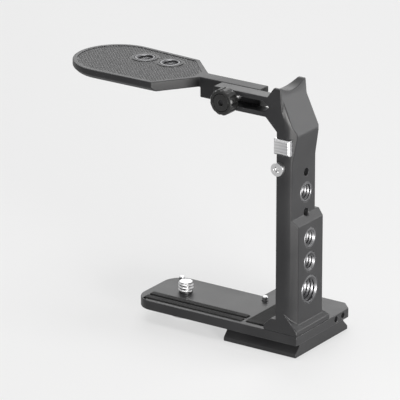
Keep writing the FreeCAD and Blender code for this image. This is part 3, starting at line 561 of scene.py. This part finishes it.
def makeKnurlRing():
    # Upright bars on edge round the Z axis.
    group, source, sink = newField("knurlRing", [
        ("Count", "NodeSocketInt", 48), ("Radius", "NodeSocketFloat", 0.006),
        ("Width", "NodeSocketFloat", 0.0004), ("Length", "NodeSocketFloat", 0.003)])
    ring = group.nodes.new("GeometryNodeMeshCircle")
    group.links.new(source.outputs["Count"], ring.inputs["Vertices"])
    group.links.new(source.outputs["Radius"], ring.inputs["Radius"])
    index = group.nodes.new("GeometryNodeInputIndex")
    share = mathNode(group, "DIVIDE", index.outputs["Index"], source.outputs["Count"])
    angle = mathNode(group, "MULTIPLY_ADD", share, math.tau, math.radians(45))
    side = mathNode(group, "MULTIPLY", source.outputs["Width"], math.sqrt(0.5))
    bar = group.nodes.new("GeometryNodeMeshCube")
    group.links.new(vectorOf(group, side, side, source.outputs["Length"]), bar.inputs["Size"])
    turn = vectorOf(group, 0.0, 0.0, angle)
    bars = instancesOn(group, ring.outputs["Mesh"], bar.outputs["Mesh"], rotation=turn)
    closeField(group, bars, source, sink)
    return group


knurlField = makeKnurlField()
threadRidge = makeThreadRidge()
grooveRow = makeGrooveRow()
knurlRing = makeKnurlRing()
print("geometry node groups made: 4")


def evaluatedMesh(host):
    graph = bpy.context.evaluated_depsgraph_get()
    mesh = bpy.data.meshes.new_from_object(host.evaluated_get(graph))
    host.modifiers.clear()
    bpy.data.objects.remove(host)
    return mesh


def hostFor(data, name):
    host = bpy.data.objects.new(name, data)
    bpy.context.scene.collection.objects.link(host)
    return host


def runField(name, group, base=None, **values):
    # The node group's result as a plain mesh.
    host = hostFor(base or bpy.data.meshes.new(name + "Base"), name)
    modifier = host.modifiers.new(name, "NODES")
    modifier.node_group = group
    for item in group.interface.items_tree:
        if item.in_out == "INPUT" and item.name in values:
            modifier[item.identifier] = values[item.name]
    mesh = evaluatedMesh(host)
    mesh.name = name
    return mesh


# Meshes taken from the CAD shapes

millimetre = 0.001
screwAxis = Vector((-9.8, 1.0, 0.0))    # millimetres, the camera screw's axis on the standing plane
meshSetup = {
    # lengths in metres, angles in degrees unless noted
    "mergeDistance": 1e-6,
    "slabMerge": 1e-7,
    "flatAngle": 0.6,        # triangles that turn less are one flat face
    "breakAngle": 28,        # edges that turn more are broken
    "smoothAngle": 32,
    "normalWeight": 90,
    "foldLength": 0.004,
    "foldStraight": 0.999,   # how nearly the fold runs along Y, where 1 is exactly
    "foldArea": 1.2e-5,      # square metres of the smaller face beside it
    "foldTurn": 0.06,        # radians
}


def spot(x, y, z):
    # A place measured in millimetres from the camera screw's axis.
    return (Vector((x, y, z)) + screwAxis) * millimetre


def cleanMesh(node):
    # A merged copy of the node's triangles, with flat faces joined again.
    mesh = nodes[node].data.copy()
    mesh.materials.clear()
    work = bmesh.new()
    work.from_mesh(mesh)
    bmesh.ops.remove_doubles(work, verts=work.verts, dist=meshSetup["mergeDistance"])
    bmesh.ops.dissolve_limit(work, angle_limit=math.radians(meshSetup["flatAngle"]),
                             verts=work.verts, edges=work.edges)
    work.to_mesh(mesh)
    work.free()
    mesh.name = node + "_finished"
    return mesh


def brokenEdges(mesh, width, segments, clamp=True):
    host = hostFor(mesh, "brokenEdges")
    bevel = host.modifiers.new("brokenEdge", "BEVEL")
    bevel.width = width
    bevel.segments = segments
    bevel.limit_method = "ANGLE"
    bevel.angle_limit = math.radians(meshSetup["breakAngle"])
    bevel.use_clamp_overlap = clamp
    return evaluatedMesh(host)


def cutMesh(mesh, cutter):
    host = hostFor(mesh, "cutShape")
    tool = hostFor(cutter, "cutTool")
    cut = host.modifiers.new("cut", "BOOLEAN")
    cut.operation = "DIFFERENCE"
    cut.solver = "EXACT"
    cut.object = tool
    result = evaluatedMesh(host)
    bpy.data.objects.remove(tool)
    return result


def markFolds(mesh):
    # Folds between flat faces that run straight along Y stay crisp.
    work = bmesh.new()
    work.from_mesh(mesh)
    for edge in work.edges:
        run = edge.verts[1].co - edge.verts[0].co
        if len(edge.link_faces) != 2 or run.length < meshSetup["foldLength"]:
            continue
        straight = abs(run.normalized().y) >= meshSetup["foldStraight"]
        broad = min(face.calc_area() for face in edge.link_faces) > meshSetup["foldArea"]
        if straight and broad and edge.calc_face_angle() > meshSetup["foldTurn"]:
            edge.smooth = False
    work.to_mesh(mesh)
    work.free()


def smoothByAngle(mesh, degrees):
    # Smooth shading that keeps the large flat faces flat.
    mesh.set_sharp_from_angle(angle=math.radians(degrees))
    for face in mesh.polygons:
        face.use_smooth = True
    markFolds(mesh)
    host = hostFor(mesh, "smoothShape")
    weigh = host.modifiers.new("weigh", "WEIGHTED_NORMAL")
    weigh.keep_sharp = True
    weigh.weight = meshSetup["normalWeight"]
    return evaluatedMesh(host)


def slab(name, loops, low, high):
    # Closed loops of places, filled between them and standing from low to high.
    curve = bpy.data.curves.new(name, "CURVE")
    curve.dimensions = "2D"
    curve.fill_mode = "BOTH"
    curve.extrude = (high - low) / 2
    for loop in loops:
        spline = curve.splines.new("POLY")
        spline.points.add(len(loop) - 1)
        for point, (x, y) in zip(spline.points, loop):
            point.co = (x, y, 0.0, 1.0)
        spline.use_cyclic_u = True
    mesh = evaluatedMesh(hostFor(curve, name))
    bpy.data.curves.remove(curve)
    mesh.transform(Matrix.Translation((0, 0, (low + high) / 2)))
    work = bmesh.new()
    work.from_mesh(mesh)
    bmesh.ops.remove_doubles(work, verts=work.verts, dist=meshSetup["slabMerge"])
    bmesh.ops.recalc_face_normals(work, faces=work.faces)
    work.to_mesh(mesh)
    work.free()
    return mesh


def circleLoop(centre, radius, count):
    return [(centre.x + radius * math.cos(math.tau * step / count),
             centre.y + radius * math.sin(math.tau * step / count)) for step in range(count)]


def finishedPiece(name, mesh, node, smoothAngle, finish=None):
    mesh = smoothByAngle(mesh, smoothAngle)
    mesh.materials.clear()
    mesh.materials.append(materials[finish or finishOfNode.get(node, finishOfSlot[slotOfNode[node]])])
    return hostFor(mesh, name)


def standIn(node, mesh):
    # The finished mesh takes the place of the node.
    piece = finishedPiece(node + "_finished", mesh, node, meshSetup["smoothAngle"])
    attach(piece, bodyOfNode[node])
    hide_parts(node)


def addDetail(name, mesh, node, finish=None, smoothAngle=meshSetup["smoothAngle"]):
    # A detail that moves with the node and counts as its material.
    piece = finishedPiece(name, mesh, node, smoothAngle, finish)
    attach(piece, bodyOfNode[node])


def shrinkRound(mesh, axisPlace, along, larger, radius):
    # Takes the vertices beyond a radius round an axis in to a new radius.
    for vertex in mesh.vertices:
        offset = vertex.co - axisPlace
        offset[along] = 0.0
        if offset.length > larger:
            vertex.co -= offset * (1 - radius / offset.length)


# Pieces that need only their edges broken

edgeBreak = {
    # node: width of the broken edge in metres, segments, and whether tight places narrow it
    "base_plate": (0.00036, 2, False), "side_frame": (0.00034, 2, False), "lug_screw": (0.00016, 2, True),
    "foot_bolts": (0.00020, 1, True), "twist_pins": (0.00045, 3, True),
    "rail_stops": (0.00015, 1, True), "side_inserts": (0.00022, 1, True), "large_insert": (0.00025, 1, True),
    "pad_inserts": (0.00022, 1, True), "screw_washer": (0.00010, 1, True), "foot_dowels": (0.00015, 1, True),
}
for nodeName, (width, segments, clamp) in edgeBreak.items():
    standIn(nodeName, brokenEdges(cleanMesh(nodeName), width, segments, clamp))
print("pieces with broken edges finished:", len(edgeBreak))


# Accessory pad with its knurled field

padLook = {
    # millimetres, measured from the camera screw's axis and the standing plane
    "edge": 0.40,
    "floor": 105.50,         # bottom of the knurled recess
    "top": 105.80,
    "rim": 1.7,              # plain rim
    "clearRing": 5.3,        # radius of plain face round a thread
    "margin": 0.55,          # the knurl's centres stay this far inside the recess
    "pitch": 1.05,
    "height": 0.27,
    "reach": 75.0,
    "middle": (-16, -9),
    "endCentre": (-26, -9),
    "endRadius": 18,
    "endStep": 6,            # degrees
    "corners": [             # x, y, and how far each moves per millimetre of inset
        (2, -27, -0.4, 1.0), (13, -12, -1.0, 0.3), (13, -4.8, -1.0, -0.3), (2, 7, -0.4, -1.0)],
    "threads": [(-18, -2), (-6, -2)],
    "threadSteps": 40,
    "cutterRise": 1.0,       # how far the cutter stands above the pad
    "zoneDepth": 0.05,
    "knurlSmooth": 10,       # degrees
}


def padLoops(inset, clearRing):
    centre = spot(*padLook["endCentre"], 0)
    radius = (padLook["endRadius"] - inset) * millimetre
    turns = [math.radians(angle) for angle in range(90, 271, padLook["endStep"])]
    arc = [(centre.x + radius * math.cos(turn), centre.y + radius * math.sin(turn)) for turn in turns]
    straight = [tuple(spot(x + inset * moveX, y + inset * moveY, 0))[:2]
                for x, y, moveX, moveY in padLook["corners"]]
    threads = [circleLoop(spot(x, y, 0), clearRing * millimetre, padLook["threadSteps"])
               for x, y in padLook["threads"]]
    return [arc + straight] + threads


def makePad():
    mesh = brokenEdges(cleanMesh("top_pad"), padLook["edge"] * millimetre, 2, False)
    floor = padLook["floor"] * millimetre
    recess = padLoops(padLook["rim"], padLook["clearRing"])
    cutterTop = (padLook["top"] + padLook["cutterRise"]) * millimetre
    standIn("top_pad", cutMesh(mesh, slab("padRecess", recess, floor, cutterTop)))
    inner = padLoops(padLook["rim"] + padLook["margin"], padLook["clearRing"] + padLook["margin"])
    zone = slab("padZone", inner, floor - padLook["zoneDepth"] * millimetre, floor)
    field = runField("padKnurl", knurlField, zone, Pitch=padLook["pitch"] * millimetre,
                     Height=padLook["height"] * millimetre, Reach=padLook["reach"] * millimetre,
                     Centre=spot(*padLook["middle"], padLook["floor"]))
    # The knurl takes the lit copy of the anodising, a painted reflection.
    addDetail("padKnurl", field, "top_pad", "knurlBlackLit", padLook["knurlSmooth"])
    print("pad knurl faces:", len(field.polygons))


makePad()


# Threads in the inserts, on the camera screw and on the knob's stud

threadSmooth = 50            # degrees
threadLook = {
    # name: node, start, direction, wall radius, ridge, pitch and length, all lengths in millimetres
    "sideThreadHigh": ("side_inserts", (53.9, -5.24, 47.4), "X", 3.22, 0.42, 1.27, 7.8),
    "sideThreadLow": ("side_inserts", (53.9, -5.24, 37.6), "X", 3.22, 0.42, 1.27, 7.8),
    "sideThreadUpper": ("side_inserts", (53.9, -5.24, 66.0), "X", 3.22, 0.42, 1.27, 5.8),
    "sideThreadLarge": ("large_insert", (53.9, -5.24, 26.0), "X", 4.82, 0.52, 1.5875, 7.8),
    "padThreadOuter": ("pad_inserts", (-18, -2, 102.1), "Z", 3.22, 0.42, 1.27, 3.4),
    "padThreadInner": ("pad_inserts", (-6, -2, 102.1), "Z", 3.22, 0.42, 1.27, 3.4),
    "cameraThread": ("camera_screw", (0, 0, 10.65), "Z", 2.68, 0.40, 1.27, 3.3),
    "studThread": ("knob_stud", (31.4, -17.6, 101.7), "Y", 1.76, 0.22, 0.7, 14.9),
}
towards = {
    "X": Matrix.Rotation(math.radians(90), 4, "Y"),
    "Y": Matrix.Rotation(math.radians(-90), 4, "X"),
    "Z": Matrix.Identity(4),
}


def makeThreads():
    for name, (node, start, direction, wall, ridge, pitch, length) in threadLook.items():
        mesh = runField(name, threadRidge, Radius=wall * millimetre, Ridge=ridge * millimetre,
                        Pitch=pitch * millimetre, Length=length * millimetre)
        mesh.transform(Matrix.Translation(spot(*start)) @ towards[direction])
        addDetail(name, mesh, node, smoothAngle=threadSmooth)
    print("threads made:", len(threadLook))


makeThreads()


# Camera screw with its knurled head, and the knob's stud

screwLook = {
    # millimetres
    "edge": 0.18,
    "threadBeyond": 3.0,     # the thread's wall lies beyond this radius and above this height
    "threadAbove": 10.1,
    "core": 2.68,            # radius under the thread's ridge
    "headBeyond": 6.4,
    "headRadius": 7.0,       # of the solid
    "head": 6.74,            # under the knurl's bars
    "bars": 64,
    "bar": 0.50,
    "barLength": 2.3,
    "barMiddle": 2.3,        # height above the standing plane
}
studLook = {
    # millimetres
    "axis": (31.4, 0, 101.7),
    "beyond": 1.9,
    "core": 1.76,
}


def makeCameraScrew():
    mesh = cleanMesh("camera_screw")
    axis = spot(0, 0, 0)
    core = screwLook["core"] * millimetre
    for vertex in mesh.vertices:
        offset = Vector((vertex.co.x - axis.x, vertex.co.y - axis.y, 0))
        wide = offset.length / millimetre
        if wide > screwLook["threadBeyond"] and vertex.co.z > screwLook["threadAbove"] * millimetre:
            vertex.co -= offset * (1 - core / offset.length)
        elif wide > screwLook["headBeyond"]:
            vertex.co -= offset * (1 - screwLook["head"] / screwLook["headRadius"])
    standIn("camera_screw", brokenEdges(mesh, screwLook["edge"] * millimetre, 1))
    ring = runField("screwKnurl", knurlRing, Count=screwLook["bars"], Radius=screwLook["head"] * millimetre,
                    Width=screwLook["bar"] * millimetre, Length=screwLook["barLength"] * millimetre)
    ring.transform(Matrix.Translation(spot(0, 0, screwLook["barMiddle"])))
    addDetail("screwKnurl", ring, "camera_screw")
    stud = cleanMesh("knob_stud")
    shrinkRound(stud, spot(*studLook["axis"]), 1, studLook["beyond"] * millimetre,
                studLook["core"] * millimetre)
    standIn("knob_stud", stud)
    print("camera screw and stud finished")


makeCameraScrew()


# Lock knob with a socket and a turned ring in its face, and its washer

knobLook = {
    # millimetres
    "edge": 0.22,
    "face": (31.4, -22.4, 101.7),
    "socket": 1.45,          # radius to the corners of the six sided socket
    "socketDepth": 1.1,
    "ringOut": 3.8,
    "ringIn": 3.3,
    "ringDepth": 0.35,
    "ringSteps": 48,
    "cutterRise": 1.0,       # how far the cutters stand out of the face
    "washerEdge": 0.12,
    "washerLift": 0.03,      # keeps the washer's rear off the frame's face
}


def makeKnob():
    mesh = brokenEdges(cleanMesh("lock_knob"), knobLook["edge"] * millimetre, 2)
    middle = Vector((0, 0, 0))
    rise = knobLook["cutterRise"] * millimetre
    socket = slab("knobSocket", [circleLoop(middle, knobLook["socket"] * millimetre, 6)],
                  -knobLook["socketDepth"] * millimetre, rise)
    rings = [circleLoop(middle, knobLook[side] * millimetre, knobLook["ringSteps"])
             for side in ("ringOut", "ringIn")]
    ring = slab("knobRing", rings, -knobLook["ringDepth"] * millimetre, rise)
    outward = Matrix.Translation(spot(*knobLook["face"])) @ Matrix.Rotation(math.radians(90), 4, "X")
    for cutter in (socket, ring):
        cutter.transform(outward)
        mesh = cutMesh(mesh, cutter)
    standIn("lock_knob", mesh)
    washer = cleanMesh("knob_washer")
    lift = knobLook["washerLift"] * millimetre
    back = max(vertex.co.y for vertex in washer.vertices)
    for vertex in washer.vertices:
        if back - vertex.co.y < lift:
            vertex.co.y -= lift
    standIn("knob_washer", brokenEdges(washer, knobLook["washerEdge"] * millimetre, 1))
    print("lock knob and washer finished")


makeKnob()


# Grooved pieces: the lug clamp's face and the rubber linings

grooveLook = {
    # node: edge, count, spacing, width, reach, first groove's middle, direction of the row, in millimetres
    "lug_clamp": (0.18, 4, 1.25, 0.62, 6.0, (56.3, -18.0, 84.92), "up"),
    "tongue_strips": (0.18, 30, 1.15, 0.5, 12.0, (-3.0, -11.4, 10.5), "across"),
    "deck_rubber": (0.18, 7, 1.1, 0.5, 31.0, (39.2, 3.5, 10.5), "across"),
    "pad_rubber": (0.18, 24, 1.15, 0.5, 7.4, (-32.0, -14.5, 101.3), "across"),
    "side_rubber": (0.18, 14, 1.1, 0.5, 10.5, (53.1, -7.9, 61.4), "wall"),
}
rowTurns = {
    "across": Matrix.Identity(4),
    "up": Matrix.Rotation(math.radians(-90), 4, "Y") @ Matrix.Rotation(math.radians(90), 4, "X"),
    "wall": Matrix.Rotation(math.radians(-90), 4, "Y"),
}


def makeGrooved():
    for node, (edge, count, spacing, width, reach, first, direction) in grooveLook.items():
        mesh = brokenEdges(cleanMesh(node), edge * millimetre, 2)
        bars = runField(node + "Grooves", grooveRow, Count=count, Spacing=spacing * millimetre,
                        Width=width * millimetre, Reach=reach * millimetre)
        bars.transform(Matrix.Translation(spot(*first)) @ rowTurns[direction])
        mesh = cutMesh(mesh, bars)
        standIn(node, mesh)
    print("grooved pieces finished:", len(grooveLook))


makeGrooved()
